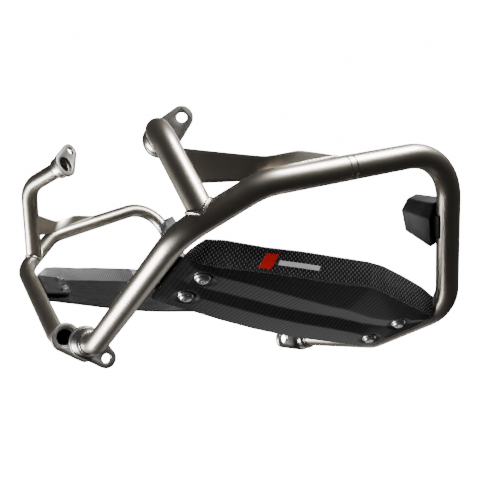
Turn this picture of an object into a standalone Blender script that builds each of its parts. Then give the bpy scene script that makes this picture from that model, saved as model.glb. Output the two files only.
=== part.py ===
"""Pair of tubular engine guards with cylinder plates for a flat-twin motorcycle.

X points to the front of the motorcycle, Y to its left and Z up. Sizes below are in millimetres
and become metres in the mesh. They are laid out from the point midway between the two lower
lugs, and every piece is then moved so that the middle of the overall box is the origin.
Each side is a bent titanium tube from a lower front lug round the cylinder to a rear lug,
a strut from an upper lug, a folded gusset, a carbon plate on two brackets and a bumper pad.
"""

import math

import bmesh
import bpy
from mathutils import Matrix, Vector

MM = 0.001
GAP = 0.3                     # clearance between neighbouring pieces
BOX_MIDDLE = (-164, 0.4, 132.6)

# ---- tube -------------------------------------------------------------------------------
TUBE_R = 12.7                 # 25.4 mm tube
BORE_R = 10.9
TUBE_SIDES = 16
CUTTER_SIDES = 24

# Corner points of the left guard's centre line; HEIGHT gives what differs between sides,
# because the two cylinders of a flat twin are staggered.
SILL = (0, 79)
SHOULDER = (-4, 278)
TOP_FRONT = (-63, 327)
TOP_REAR = (-274, 368)
FOOT = (-338, 309)
RETURN = (-319, 208)
REAR_END = (-308, 75)
STRUT_END = (-37, 170)
STRUT_BEND = (2, 242)
HEIGHT = {
    "left": {"shoulder": 113, "top_front": 158, "top_rear": 208, "foot": 41,
             "return": -1, "rear_end": -6, "strut_end": 227, "strut_bend": 222},
    "right": {"shoulder": 97, "top_front": 160, "top_rear": 238, "foot": 86,
              "return": 46, "rear_end": 42, "strut_end": 261, "strut_bend": 232},
}
SILL_BEND_R = 32
SHOULDER_BEND_R = 60
TOP_BEND_R = 55
U_BEND_R = 58
FOOT_BEND_R = 52
RETURN_BEND_R = 45
STRUT_BEND_R = 42
STRUT_FOOT_AT = 0.32          # where the strut lands, from shoulder to top front corner
JOINT_AT = 0.42               # where the joint ring sits, from top front to top rear corner
JOINT_LENGTH = 13
GROOVE_DEPTH = 0.6

# ---- lugs -------------------------------------------------------------------------------
LUG_THICKNESS = 6
LUG_BIG_R = 19.5
LUG_SMALL_R = 12.5
LUG_BOLT_R = 6.0
LUG_BORE_R = 12.9
LUG_REACH = 35                # from the tube's axis to the bolt hole
LOWER_LUG_FACE_Y = 36
SOCKET_R = 17
SOCKET_LENGTH = 15
SOCKET_CHAMFER = 3
LOWER_BOLT_WAY = (-0.775, 0, -0.632)     # from the bore to the bolt hole, left side
UPPER_BOLT_WAY = {"left": (-0.57, 0.36, 0.74), "right": (-0.38, 0.51, 0.77)}
REAR_BOLT_WAY = (1, 0, -0.05)

# ---- gusset -----------------------------------------------------------------------------
GUSSET_THICKNESS = 3
GUSSET_TOP_UP = 84            # along the strut from its foot
GUSSET_BOTTOM_UP = 40

# ---- carbon plate, in its own plane: l runs rearward, t outward and up, n outward and down -
PLATE_THICKNESS = 3
PLATE_ANCHOR_Y = 239
PLATE_FRONT_DROP = 6.8        # from the lower tube's axis to the plate's outer face
PLATE_REAR_DROP = 17
PLATE_FOLD = ((16, 24), (34, 19), (55, 21), (95, 30), (138, 37), (183, 44),
              (217, 52), (240, 49), (267, 43), (299, 37), (322, 30), (330, 25))
PLATE_LOWER = ((15, -56), (36, -62), (64, -66), (104, -72), (150, -76), (190, -76),
               (227, -73), (267, -67), (294, -63), (308, -54), (320, -8), (328, 18))
PLATE_TOP = ((18, 29, -6), (31, 40, -14), (50, 45, -15), (90, 51, -15), (130, 59, -16), (172, 66, -16),
             (205, 72, -16), (225, 72, -16), (252, 67, -16), (290, 58, -16), (314, 50, -14), (322, 40, -9))
PLATE_BULGE = 5
PLATE_STRETCH = {"left": 1.0, "right": 0.965}
PLATE_ROWS = (0.0, 0.3, 0.62, 1.0)
SCREW_SPOTS = {"front_upper": (48, -3), "front_lower": (47, -40),
               "rear_upper": (300, 3), "rear_lower": (291, -40)}

# ---- brackets and screws ----------------------------------------------------------------
BRACKET_THICKNESS = 4
BUSH_LENGTH = 6
BUSH_R = 8
SCREW_R = 3
HEAD_R = 7
HEAD_HEIGHT = 4
KEY_R = 2.4
KEY_DEPTH = 2.4
NUT_R = 6
NUT_HOLE_R = 3.8
NUT_HEIGHT = 4.5
HOLE_R = SCREW_R + GAP
BRACKET_EDGE_L = {"front": (14, 14), "rear": (322, 311)}      # upper and lower end

# ---- bumper pad -------------------------------------------------------------------------
PAD_AT = 0.45                 # along the upright, from the top rear corner
SADDLE_R = 14.5
SADDLE_HEIGHT = 26
PAD_NEAR = 14.8
PAD_FAR = 52

TITANIUM = ("titanium", (0.40, 0.385, 0.355), 0.34, 1.0)
MACHINED = ("machined_titanium", (0.55, 0.535, 0.50), 0.25, 1.0)
CARBON = ("carbon_fibre", (0.02, 0.02, 0.022), 0.25, 0.0)
STEEL = ("polished_steel", (0.70, 0.70, 0.70), 0.18, 1.0)
BLACK_METAL = ("black_painted_metal", (0.022, 0.022, 0.023), 0.45, 0.2)
RUBBER = ("black_rubber", (0.018, 0.018, 0.018), 0.65, 0.0)


# ---- small helpers ----------------------------------------------------------------------
def material(finish):
    """Return the Principled material of a finish, made once."""
    name, colour, roughness, metallic = finish
    found = bpy.data.materials.get(name)
    if found:
        return found
    made = bpy.data.materials.new(name)
    made.use_nodes = True
    shader = made.node_tree.nodes["Principled BSDF"]
    shader.inputs["Base Color"].default_value = (*colour, 1.0)
    shader.inputs["Roughness"].default_value = roughness
    shader.inputs["Metallic"].default_value = metallic
    return made


def mirrored(points, side):
    """Return points as vectors, on the right side mirrored in the plane Y = 0."""
    sign = 1 if side == "left" else -1
    return [Vector((p[0], p[1] * sign, p[2])) for p in points]


def add_object(name, bm, finish, smooth=True):
    """Turn a mesh in millimetres into a scene object in metres, about the middle of the box."""
    bmesh.ops.translate(bm, vec=-Vector(BOX_MIDDLE), verts=bm.verts)
    bmesh.ops.scale(bm, vec=(MM, MM, MM), verts=bm.verts)
    bmesh.ops.recalc_face_normals(bm, faces=bm.faces)
    mesh = bpy.data.meshes.new(name)
    bm.to_mesh(mesh)
    bm.free()
    if smooth:
        mesh.shade_smooth()
        mesh.set_sharp_from_angle(angle=math.radians(35))
    mesh.materials.append(material(finish))
    made = bpy.data.objects.new(name, mesh)
    bpy.context.scene.collection.objects.link(made)
    return made


def add_cutter(name, bm):
    """Add a mesh that only cuts others."""
    cutter = add_object(name, bm, TITANIUM, smooth=False)
    cutter.hide_render = True
    cutter.display_type = "WIRE"
    return cutter


def cut(target, *cutters):
    """Cut each cutter out of the target with a Boolean modifier."""
    for cutter in cutters:
        modifier = target.modifiers.new("cut_" + cutter.name, "BOOLEAN")
        modifier.operation = "DIFFERENCE"
        modifier.solver = "EXACT"
        modifier.object = cutter


def axes_along(direction, hint=Vector((0, 0, 1))):
    """Return a rotation whose Z axis is the direction and whose X axis is near the hint."""
    z = direction.normalized()
    x = (hint - z * hint.dot(z)).normalized()
    y = z.cross(x)
    return Matrix((x, y, z)).transposed()


# ---- centre lines and tubes -------------------------------------------------------------
def rounded_route(corners, radii, step_degrees=15):
    """Return the points of a route through the corners with an arc of each radius."""
    route = [corners[0]]
    for before, corner, after, radius in zip(corners, corners[1:], corners[2:], radii):
        to_before = (before - corner).normalized()
        to_after = (after - corner).normalized()
        opening = to_before.angle(to_after)
        sweep = math.pi - opening
        start = corner + to_before * (radius / math.tan(opening / 2))
        middle = corner + (to_before + to_after).normalized() * (radius / math.sin(opening / 2))
        spoke = start - middle
        axis = spoke.cross(-to_before).normalized()
        steps = max(2, round(math.degrees(sweep) / step_degrees))
        for index in range(steps + 1):
            route.append(middle + Matrix.Rotation(sweep * index / steps, 3, axis) @ spoke)
    route.append(corners[-1])
    return route


def trimmed(route, start=0.0, end=0.0):
    """Return the route shortened by a length at each end."""
    points = list(route)
    for length, first in ((start, True), (end, False)):
        if not first:
            points.reverse()
        left = length
        while left > (points[1] - points[0]).length:
            left -= (points[1] - points[0]).length
            points.pop(0)
        points[0] = points[0] + (points[1] - points[0]).normalized() * left
        if not first:
            points.reverse()
    return points


def ring_frames(route):
    """Return a position, two cross axes and a mitre stretch for each point of a route."""
    cross = Vector((0.3, 0.2, 1)).cross(route[1] - route[0]).normalized()
    frames = []
    for index, point in enumerate(route):
        before = route[max(index - 1, 0)]
        after = route[min(index + 1, len(route) - 1)]
        along = (after - before).normalized()
        cross = (cross - along * cross.dot(along)).normalized()
        frames.append((point, cross.copy(), along.cross(cross)))
    return frames


def skin_of_route(bm, route, radius, sides):
    """Add rings of vertices along a route and the faces between them."""
    rings = []
    for point, across, up in ring_frames(route):
        ring = []
        for index in range(sides):
            angle = 2 * math.pi * index / sides
            ring.append(bm.verts.new(point + (across * math.cos(angle) + up * math.sin(angle)) * radius))
        rings.append(ring)
    for lower, upper in zip(rings, rings[1:]):
        for index in range(sides):
            follow = (index + 1) % sides
            bm.faces.new((lower[index], lower[follow], upper[follow], upper[index]))
    return rings


def tube(name, route, finish=TITANIUM, outer=TUBE_R, inner=BORE_R):
    """Add an open-ended tube along a route."""
    bm = bmesh.new()
    outside = skin_of_route(bm, route, outer, TUBE_SIDES)
    inside = skin_of_route(bm, route, inner, TUBE_SIDES)
    for end in (0, -1):
        for index in range(TUBE_SIDES):
            follow = (index + 1) % TUBE_SIDES
            bm.faces.new((outside[end][index], outside[end][follow], inside[end][follow], inside[end][index]))
    return add_object(name, bm, finish)


def rod(route, radius, sides=CUTTER_SIDES):
    """Return the mesh of a solid rod along a route."""
    bm = bmesh.new()
    rings = skin_of_route(bm, route, radius, sides)
    bm.faces.new(rings[0])
    bm.faces.new(rings[-1])
    return bm


def turned(name, profile, origin, direction, finish, sides=24):
    """Add a ring turned from a closed profile of (radius, height along the direction)."""
    bm = bmesh.new()
    turn = axes_along(direction)
    rings = []
    for radius, height in profile:
        ring = []
        for index in range(sides):
            angle = 2 * math.pi * index / sides
            local = Vector((radius * math.cos(angle), radius * math.sin(angle), height))
            ring.append(bm.verts.new(origin + turn @ local))
        rings.append(ring)
    for lower, upper in zip(rings, rings[1:] + rings[:1]):
        for index in range(sides):
            follow = (index + 1) % sides
            bm.faces.new((lower[index], lower[follow], upper[follow], upper[index]))
    return add_object(name, bm, finish)


def extruded(outline, thickness, place, turn):
    """Return the mesh of a flat outline extruded along its own Z axis."""
    bm = bmesh.new()
    lower = [bm.verts.new(place + turn @ Vector((x, y, 0))) for x, y in outline]
    face = bm.faces.new(lower)
    grown = bmesh.ops.extrude_face_region(bm, geom=[face])
    moved = [item for item in grown["geom"] if isinstance(item, bmesh.types.BMVert)]
    bmesh.ops.translate(bm, verts=moved, vec=turn @ Vector((0, 0, thickness)))
    return bm


# ---- the centre lines of one side -------------------------------------------------------
def corner(spot, height, side):
    """Return a corner point from its plan position and its height."""
    return mirrored([(spot[0], spot[1], height)], side)[0]


def guard_corners(side):
    """Return the named corner points of one side."""
    height = HEIGHT[side]
    points = {
        "lug": corner((0, LOWER_LUG_FACE_Y), 0, side),
        "sill": corner(SILL, 0, side),
        "shoulder": corner(SHOULDER, height["shoulder"], side),
        "top_front": corner(TOP_FRONT, height["top_front"], side),
        "top_rear": corner(TOP_REAR, height["top_rear"], side),
        "foot": corner(FOOT, height["foot"], side),
        "return": corner(RETURN, height["return"], side),
        "rear_end": corner(REAR_END, height["rear_end"], side),
        "strut_end": corner(STRUT_END, height["strut_end"], side),
        "strut_bend": corner(STRUT_BEND, height["strut_bend"], side),
    }
    points["strut_foot"] = points["shoulder"].lerp(points["top_front"], STRUT_FOOT_AT)
    points["joint"] = points["top_front"].lerp(points["top_rear"], JOINT_AT)
    return points


def guard_routes(points):
    """Return the centre lines of the front tube, the rear tube and the strut."""
    front = rounded_route(
        [points[key] for key in ("lug", "sill", "shoulder", "top_front", "joint")],
        (SILL_BEND_R, SHOULDER_BEND_R, TOP_BEND_R))
    rear = rounded_route(
        [points[key] for key in ("joint", "top_rear", "foot", "return", "rear_end")],
        (U_BEND_R, FOOT_BEND_R, RETURN_BEND_R))
    strut = rounded_route(
        [points[key] for key in ("strut_end", "strut_bend", "strut_foot")],
        (STRUT_BEND_R,))
    return front, rear, strut


# ---- sub-parts --------------------------------------------------------------------------
def add_tubes(side, routes):
    """Add the three tubes and the joint ring, and return the cutter of the front tube."""
    front, rear, strut = routes
    half_joint = JOINT_LENGTH / 2
    tube(f"front_tube_{side}", trimmed(front, LUG_THICKNESS + GAP, half_joint + GAP))
    tube(f"rear_tube_{side}", trimmed(rear, half_joint + GAP, LUG_THICKNESS + GAP))
    along = (rear[1] - rear[0]).normalized()
    ring_profile = [
        (TUBE_R, -half_joint), (TUBE_R, -half_joint + 2), (TUBE_R - GROOVE_DEPTH, -half_joint + 2.8),
        (TUBE_R, -half_joint + 3.6), (TUBE_R, half_joint - 3.6),
        (TUBE_R - GROOVE_DEPTH, half_joint - 2.8), (TUBE_R, half_joint - 2), (TUBE_R, half_joint),
        (BORE_R, half_joint), (BORE_R, -half_joint)]
    turned(f"joint_ring_{side}", ring_profile, rear[0], along, MACHINED)
    main_cutter = add_cutter(f"cut_front_{side}", rod(trimmed(front, 40, 2), TUBE_R + GAP))
    strut_tube = tube(f"strut_{side}", trimmed(strut, LUG_THICKNESS + GAP, 2))
    cut(strut_tube, main_cutter)
    return main_cutter


def lug_outline(reach, steps=8):
    """Return the outline of a tapered lug: big round at the origin, small round at +X."""
    lean = math.asin((LUG_BIG_R - LUG_SMALL_R) / reach)
    outline = []
    small_end = math.pi / 2 - lean
    for index in range(steps + 1):
        angle = -small_end + 2 * small_end * index / steps
        outline.append((reach + LUG_SMALL_R * math.cos(angle), LUG_SMALL_R * math.sin(angle)))
    sweep = 2 * math.pi - 2 * small_end
    for index in range(2 * steps + 1):
        angle = small_end + sweep * index / (2 * steps)
        outline.append((LUG_BIG_R * math.cos(angle), LUG_BIG_R * math.sin(angle)))
    return outline


def add_lug(name, face_point, outward, towards_bolt):
    """Add a lug plate with its bore, its bolt hole and the socket behind it.

    face_point is the centre of the bore on the mating face, and outward is the direction
    from that face into the tube.
    """
    turn = axes_along(outward, towards_bolt)
    plate = add_object(f"{name}_plate", extruded(lug_outline(LUG_REACH), LUG_THICKNESS, face_point, turn),
                       MACHINED)
    for label, offset, radius in (("bore", 0, LUG_BORE_R), ("bolt", LUG_REACH, LUG_BOLT_R)):
        centre = face_point + turn @ Vector((offset, 0, 0))
        hole = rod([centre - outward * 2, centre + outward * (LUG_THICKNESS + 2)], radius)
        cut(plate, add_cutter(f"cut_{name}_{label}", hole))
    base = LUG_THICKNESS + GAP
    top = base + SOCKET_LENGTH
    inner = TUBE_R + GAP
    profile = [(SOCKET_R, base), (SOCKET_R, top - SOCKET_CHAMFER), (inner + 0.8, top), (inner, top), (inner, base)]
    turned(f"{name}_socket", profile, face_point, outward, MACHINED)


def add_lugs(side, points, strut):
    """Add the lower, the upper and the rear lug of one side."""
    sign = 1 if side == "left" else -1
    outward = Vector((0, sign, 0))
    add_lug(f"lower_lug_{side}", points["lug"], outward, Vector(LOWER_BOLT_WAY))
    strut_axis = (strut[1] - strut[0]).normalized()
    upper_way = mirrored([UPPER_BOLT_WAY[side]], side)[0]
    add_lug(f"upper_lug_{side}", points["strut_end"], strut_axis, upper_way)
    rear_axis = (points["return"] - points["rear_end"]).normalized()
    add_lug(f"rear_lug_{side}", points["rear_end"], rear_axis, Vector(REAR_BOLT_WAY))


def strip(name, rows, thickness, finish):
    """Add a sheet through rows of points, given its thickness by a Solidify modifier."""
    bm = bmesh.new()
    grid = [[bm.verts.new(point) for point in row] for row in rows]
    for lower, upper in zip(grid, grid[1:]):
        for index in range(len(lower) - 1):
            bm.faces.new((lower[index], lower[index + 1], upper[index + 1], upper[index]))
    sheet = add_object(name, bm, finish)
    solid = sheet.modifiers.new("thickness", "SOLIDIFY")
    solid.thickness = thickness * MM
    solid.offset = 0
    solid.use_even_offset = True
    return sheet


def add_gusset(side, points, main_cutter, strut):
    """Add the folded gusset between the strut and the main tube."""
    foot = points["strut_foot"]
    up = (points["strut_bend"] - foot).normalized()
    corner_point = points["top_front"]
    sign = 1 if side == "left" else -1
    tube_axis = (points["top_rear"] - corner_point).normalized()
    strut_low = foot + up * GUSSET_BOTTOM_UP
    strut_high = foot + up * GUSSET_TOP_UP
    fold_low = corner_point + Vector((3, -14 * sign, 5))
    fold_high = corner_point + Vector((-4, -5 * sign, 29))
    seat = corner_point + tube_axis * 38 + Vector((0, -5 * sign, 6))
    crest = corner_point + tube_axis * 42 + Vector((0, -5 * sign, 25))
    tip_low = corner_point + tube_axis * 80 + Vector((0, -3 * sign, 8))
    tip_high = corner_point + tube_axis * 82 + Vector((0, -3 * sign, 13.6))
    sheet = strip(f"gusset_{side}", [[strut_low, fold_low, seat, tip_low],
                                     [strut_high, fold_high, crest, tip_high]],
                  GUSSET_THICKNESS, TITANIUM)
    strut_cutter = add_cutter(f"cut_strut_{side}", rod(trimmed(strut, 3, 2), TUBE_R + GAP))
    cut(sheet, main_cutter, strut_cutter)


def add_strut_weld(side, points):
    """Add the weld bead round the foot of the strut, a bead of round section on the saddle line."""
    bead_r = 1.5
    reach = TUBE_R + 2 * GAP + bead_r
    foot = points["strut_foot"]
    up = (points["strut_bend"] - foot).normalized()
    tube_axis = (points["top_front"] - points["shoulder"]).normalized()
    turn = axes_along(up, tube_axis)
    steps = 24
    centres = []
    for index in range(steps):
        angle = 2 * math.pi * index / steps
        spoke = turn @ Vector((math.cos(angle), math.sin(angle), 0)) * reach
        across = spoke - tube_axis * spoke.dot(tube_axis)
        rise = up - tube_axis * up.dot(tube_axis)
        a = rise.length_squared
        b = across.dot(rise)
        c = across.length_squared - reach * reach
        height = (-b + math.sqrt(max(b * b - a * c, 0))) / a
        centres.append(foot + spoke + up * height)
    bm = bmesh.new()
    rings = []
    for index, centre in enumerate(centres):
        along = (centres[(index + 1) % steps] - centres[index - 1]).normalized()
        turn = axes_along(along, up)
        ring = []
        for corner_index in range(6):
            angle = math.pi / 3 * corner_index
            local = Vector((math.cos(angle), math.sin(angle), 0)) * bead_r
            ring.append(bm.verts.new(centre + turn @ local))
        rings.append(ring)
    for lower, upper in zip(rings, rings[1:] + rings[:1]):
        for corner_index in range(6):
            follow = (corner_index + 1) % 6
            bm.faces.new((lower[corner_index], lower[follow], upper[follow], upper[corner_index]))
    add_object(f"strut_weld_{side}", bm, TITANIUM)


class PlateFrame:
    """The carbon plate's own plane on one side: l rearward, t outward and up, n outward and down."""

    def __init__(self, side, points):
        self.stretch = PLATE_STRETCH[side]
        share = (PLATE_ANCHOR_Y - SILL[1]) / (SHOULDER[1] - SILL[1])
        front = points["sill"].lerp(points["shoulder"], share)
        share = (PLATE_ANCHOR_Y - RETURN[1]) / (FOOT[1] - RETURN[1])
        rear = points["return"].lerp(points["foot"], share)
        self.t = (points["shoulder"] - points["sill"]).normalized()
        self.n = self.down(rear - front)
        for _ in range(4):
            self.origin = front + self.n * PLATE_FRONT_DROP
            chord = rear + self.n * PLATE_REAR_DROP - self.origin
            self.l = (chord - self.t * chord.dot(self.t)).normalized()
            self.n = self.down(self.l)

    def down(self, chord):
        """Return the downward normal of the plane through t and a chord."""
        normal = chord.cross(self.t).normalized()
        return normal if normal.z < 0 else -normal

    def point(self, l, t, n=0.0):
        """Return the world point of plate coordinates."""
        return self.origin + self.l * (l * self.stretch) + self.t * t + self.n * n

    def turn(self):
        """Return the rotation whose X, Y and Z axes are l, t and n, right-handed."""
        t = self.n.cross(self.l)
        return Matrix((self.l, t, self.n)).transposed()


def add_plate(side, frame):
    """Add the carbon plate: a bulged lower face and a folded upper band."""
    rows = [[] for _ in range(len(PLATE_ROWS) + 1)]
    last = len(PLATE_FOLD) - 1
    for index, (fold, lower, top) in enumerate(zip(PLATE_FOLD, PLATE_LOWER, PLATE_TOP)):
        along = math.sin(math.pi * index / last)
        for row, share in zip(rows, PLATE_ROWS):
            l = lower[0] + (fold[0] - lower[0]) * share
            t = lower[1] + (fold[1] - lower[1]) * share
            swell = PLATE_BULGE * along * math.sin(math.pi * share)
            row.append(frame.point(l, t, swell - PLATE_THICKNESS / 2))
        rows[-1].append(frame.point(top[0], top[1], top[2] - PLATE_THICKNESS / 2))
    plate = strip(f"carbon_plate_{side}", rows, PLATE_THICKNESS, CARBON)
    for label, (l, t) in SCREW_SPOTS.items():
        hole = rod([frame.point(l, t, -12), frame.point(l, t, 9)], HOLE_R, 12)
        cut(plate, add_cutter(f"cut_plate_{label}_{side}", hole))


def add_bracket(side, frame, end):
    """Add the flat bracket that carries two screws beside the tube at one end of the plate."""
    upper = SCREW_SPOTS[f"{end}_upper"]
    lower = SCREW_SPOTS[f"{end}_lower"]
    edge_upper, edge_lower = BRACKET_EDGE_L[end]
    away = 1 if end == "front" else -1
    boss = 10
    outline = [(edge_upper, upper[1] + 14), (edge_lower, lower[1] - 14)]
    for spot, first in ((lower, -math.pi / 2), (upper, 0)):
        for index in range(5):
            angle = first + math.pi / 2 * index / 4
            outline.append((spot[0] + away * boss * math.cos(angle), spot[1] + boss * math.sin(angle)))
    level = -PLATE_THICKNESS - BUSH_LENGTH - 2 * GAP - BRACKET_THICKNESS
    turn = frame.turn()
    flip = 1 if turn.col[1].dot(frame.t) > 0 else -1
    flat = [(l * frame.stretch, t * flip) for l, t in outline]
    bracket = add_object(f"{end}_bracket_{side}",
                         extruded(flat, BRACKET_THICKNESS, frame.point(0, 0, level), turn), BLACK_METAL)
    for label, (l, t) in (("upper", upper), ("lower", lower)):
        hole = rod([frame.point(l, t, level - 3), frame.point(l, t, level + BRACKET_THICKNESS + 3)], HOLE_R, 12)
        cut(bracket, add_cutter(f"cut_{end}_bracket_{label}_{side}", hole))
    return bracket


def add_screw_stack(side, frame, label):
    """Add a button-head screw, its rubber bush and its nut."""
    l, t = SCREW_SPOTS[label]
    down = frame.n
    seat = frame.point(l, t, swell_at(label) + GAP)
    stack = PLATE_THICKNESS + BUSH_LENGTH + BRACKET_THICKNESS + 4 * GAP + swell_at(label)
    shank_end = -(stack + NUT_HEIGHT + 2)
    profile = [(0.01, HEAD_HEIGHT - KEY_DEPTH), (KEY_R, HEAD_HEIGHT - KEY_DEPTH), (KEY_R, HEAD_HEIGHT),
               (HEAD_R * 0.62, HEAD_HEIGHT), (HEAD_R * 0.9, HEAD_HEIGHT * 0.6), (HEAD_R, 0.0),
               (SCREW_R, 0.0), (SCREW_R, shank_end), (0.01, shank_end)]
    bm = bmesh.new()
    turn = axes_along(down, frame.l)
    sides = 12
    rings = []
    for radius, height in profile[1:-1]:
        ring = []
        for index in range(sides):
            angle = 2 * math.pi * index / sides
            local = Vector((radius * math.cos(angle), radius * math.sin(angle), height))
            ring.append(bm.verts.new(seat + turn @ local))
        rings.append(ring)
    for lower, upper in zip(rings, rings[1:]):
        for index in range(sides):
            follow = (index + 1) % sides
            bm.faces.new((lower[index], lower[follow], upper[follow], upper[index]))
    bm.faces.new(rings[0])
    bm.faces.new(rings[-1])
    add_object(f"screw_{label}_{side}", bm, STEEL)
    bush_top = -PLATE_THICKNESS - GAP
    bush = [(BUSH_R, bush_top), (BUSH_R, bush_top - BUSH_LENGTH), (HOLE_R, bush_top - BUSH_LENGTH), (HOLE_R, bush_top)]
    turned(f"bush_{label}_{side}", bush, frame.point(l, t), down, RUBBER, 12)
    nut_top = -PLATE_THICKNESS - BUSH_LENGTH - BRACKET_THICKNESS - 3 * GAP
    nut = [(NUT_R, nut_top), (NUT_R, nut_top - NUT_HEIGHT),
           (NUT_HOLE_R, nut_top - NUT_HEIGHT), (NUT_HOLE_R, nut_top)]
    turned(f"nut_{label}_{side}", nut, frame.point(l, t), down, STEEL, 6)


def swell_at(label):
    """Return how far the plate stands proud of its plane under a screw head."""
    return 2.6 if label.endswith("upper") else 3.2


def add_bumper(side, points):
    """Add the bumper pad on the inboard side of the upright, and the saddle that holds it."""
    sign = 1 if side == "left" else -1
    top = points["top_rear"]
    foot = points["foot"]
    along = (foot - top).normalized()
    centre = top.lerp(foot, PAD_AT)
    inboard = Vector((0.09, -sign, 0))
    inboard = (inboard - along * inboard.dot(along)).normalized()
    fore = along.cross(inboard).normalized()
    fore = fore if fore.x > 0 else -fore
    turn = Matrix((inboard, fore, -along)).transposed()
    steps = 10
    arc = []
    for radius, order in ((SADDLE_R, range(steps + 1)), (TUBE_R + GAP, range(steps, -1, -1))):
        for index in order:
            angle = math.radians(-78 + 156 * index / steps)
            arc.append((radius * math.cos(angle), radius * math.sin(angle)))
    base = centre + along * (SADDLE_HEIGHT / 2)
    add_object(f"bumper_saddle_{side}", extruded(arc, SADDLE_HEIGHT, base, turn), BLACK_METAL)
    near_ring = [(PAD_NEAR, -15, 25), (PAD_NEAR, 9, 25), (PAD_NEAR, 16, 8), (PAD_NEAR, 14, -26), (PAD_NEAR, -15, -26)]
    far_ring = [(PAD_FAR - 5, -12, 25), (PAD_FAR - 5, 6, 25), (PAD_FAR, 12, 12), (PAD_FAR - 4, 10, -14),
                (PAD_FAR - 4, -12, -14)]
    bm = bmesh.new()
    rings = [[bm.verts.new(centre + turn @ Vector(spot)) for spot in ring] for ring in (near_ring, far_ring)]
    count = len(near_ring)
    for index in range(count):
        follow = (index + 1) % count
        bm.faces.new((rings[0][index], rings[0][follow], rings[1][follow], rings[1][index]))
    bm.faces.new(rings[0])
    bm.faces.new(rings[1])
    bmesh.ops.bevel(bm, geom=list(bm.edges), offset=1.6, segments=1, affect="EDGES", profile=0.5)
    add_object(f"bumper_pad_{side}", bm, RUBBER, smooth=False)


def build_side(side):
    """Build every sub-part of one side."""
    points = guard_corners(side)
    routes = guard_routes(points)
    strut = routes[2]
    main_cutter = add_tubes(side, routes)
    add_lugs(side, points, strut)
    add_gusset(side, points, main_cutter, strut)
    add_strut_weld(side, points)
    frame = PlateFrame(side, points)
    add_plate(side, frame)
    for end in ("front", "rear"):
        add_bracket(side, frame, end)
    for label in SCREW_SPOTS:
        add_screw_stack(side, frame, label)
    add_bumper(side, points)


for old in list(bpy.data.objects):
    bpy.data.objects.remove(old)
for each_side in ("left", "right"):
    build_side(each_side)
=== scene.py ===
"""Looks of a pair of tubular engine guards with carbon cylinder plates.

Sizes are in millimetres from the point midway between the two lower lugs: X points to the
front of the motorcycle, Y to its left and Z up. They become metres about the middle of the
overall box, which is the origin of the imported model.
"""

import logging
import math
from collections.abc import Callable, Sequence
from dataclasses import dataclass, field
from enum import Enum

import bpy
from mathutils import Matrix, Vector


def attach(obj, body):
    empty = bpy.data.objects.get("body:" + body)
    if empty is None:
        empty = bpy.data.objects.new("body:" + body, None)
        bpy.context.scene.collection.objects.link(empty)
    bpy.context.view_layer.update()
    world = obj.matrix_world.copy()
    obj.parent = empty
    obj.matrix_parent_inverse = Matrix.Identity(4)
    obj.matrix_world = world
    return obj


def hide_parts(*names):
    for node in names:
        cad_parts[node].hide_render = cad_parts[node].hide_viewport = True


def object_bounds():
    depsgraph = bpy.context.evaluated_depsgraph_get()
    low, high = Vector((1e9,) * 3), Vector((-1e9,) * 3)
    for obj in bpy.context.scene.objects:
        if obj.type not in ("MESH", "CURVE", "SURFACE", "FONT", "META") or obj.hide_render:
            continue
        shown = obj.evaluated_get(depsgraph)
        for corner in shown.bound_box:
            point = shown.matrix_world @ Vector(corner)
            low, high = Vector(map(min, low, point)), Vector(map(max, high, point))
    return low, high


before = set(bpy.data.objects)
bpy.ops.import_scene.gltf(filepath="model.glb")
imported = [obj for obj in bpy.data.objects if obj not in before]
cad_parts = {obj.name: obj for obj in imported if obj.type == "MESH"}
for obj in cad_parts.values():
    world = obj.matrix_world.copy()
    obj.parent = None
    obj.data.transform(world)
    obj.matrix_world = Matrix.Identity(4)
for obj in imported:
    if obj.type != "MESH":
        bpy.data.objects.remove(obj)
CAD_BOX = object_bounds()

LOG = logging.getLogger("engine_guards")
MM = 0.001
BOX_MIDDLE = Vector((-164, 0.4, 132.6))
BODY = "root"
TUBE_R = 12.7
TUBE_WALL = 1.8

Route = list[Vector]


class Side(Enum):
    """The two guards of the pair."""

    LEFT = "left"
    RIGHT = "right"

    @property
    def sign(self) -> int:
        """Return 1 on the left and -1 on the right."""
        return 1 if self is Side.LEFT else -1


class Slot(Enum):
    """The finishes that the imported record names."""

    TITANIUM = "titanium"
    MACHINED = "machined_titanium"
    CARBON = "carbon_fibre"
    STEEL = "polished_steel"
    BLACK_METAL = "black_painted_metal"
    RUBBER = "black_rubber"


def metres(spot: Sequence[float]) -> Vector:
    """Return a point of the drawing, in millimetres, as a point of the model, in metres."""
    return (Vector(spot) - BOX_MIDDLE) * MM


def axes_along(direction: Vector, hint: Sequence[float] = (0, 0, 1)) -> Matrix:
    """Return a rotation whose Z axis is a direction.

    Args:
        direction: Where Z points.
        hint: Roughly where X points.

    Returns:
        A 3 by 3 rotation.
    """
    z = direction.normalized()
    x = Vector(hint)
    x = (x - z * x.dot(z)).normalized()
    return Matrix((x, z.cross(x), z)).transposed()


def eased(share: float) -> float:
    """Return a smooth step between 0 and 1."""
    share = min(max(share, 0.0), 1.0)
    return share * share * (3 - 2 * share)


def along_table(table: Sequence[tuple[float, float]], where: float) -> float:
    """Return the value of a table of (place, value) pairs at a place, with straight runs.

    Args:
        table: Pairs in rising order of place.
        where: The place to read.

    Returns:
        The value there, held at the ends.
    """
    if where <= table[0][0]:
        return table[0][1]
    for (low, first), (high, second) in zip(table, table[1:]):
        if where <= high:
            return first + (second - first) * (where - low) / (high - low)
    return table[-1][1]


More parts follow.
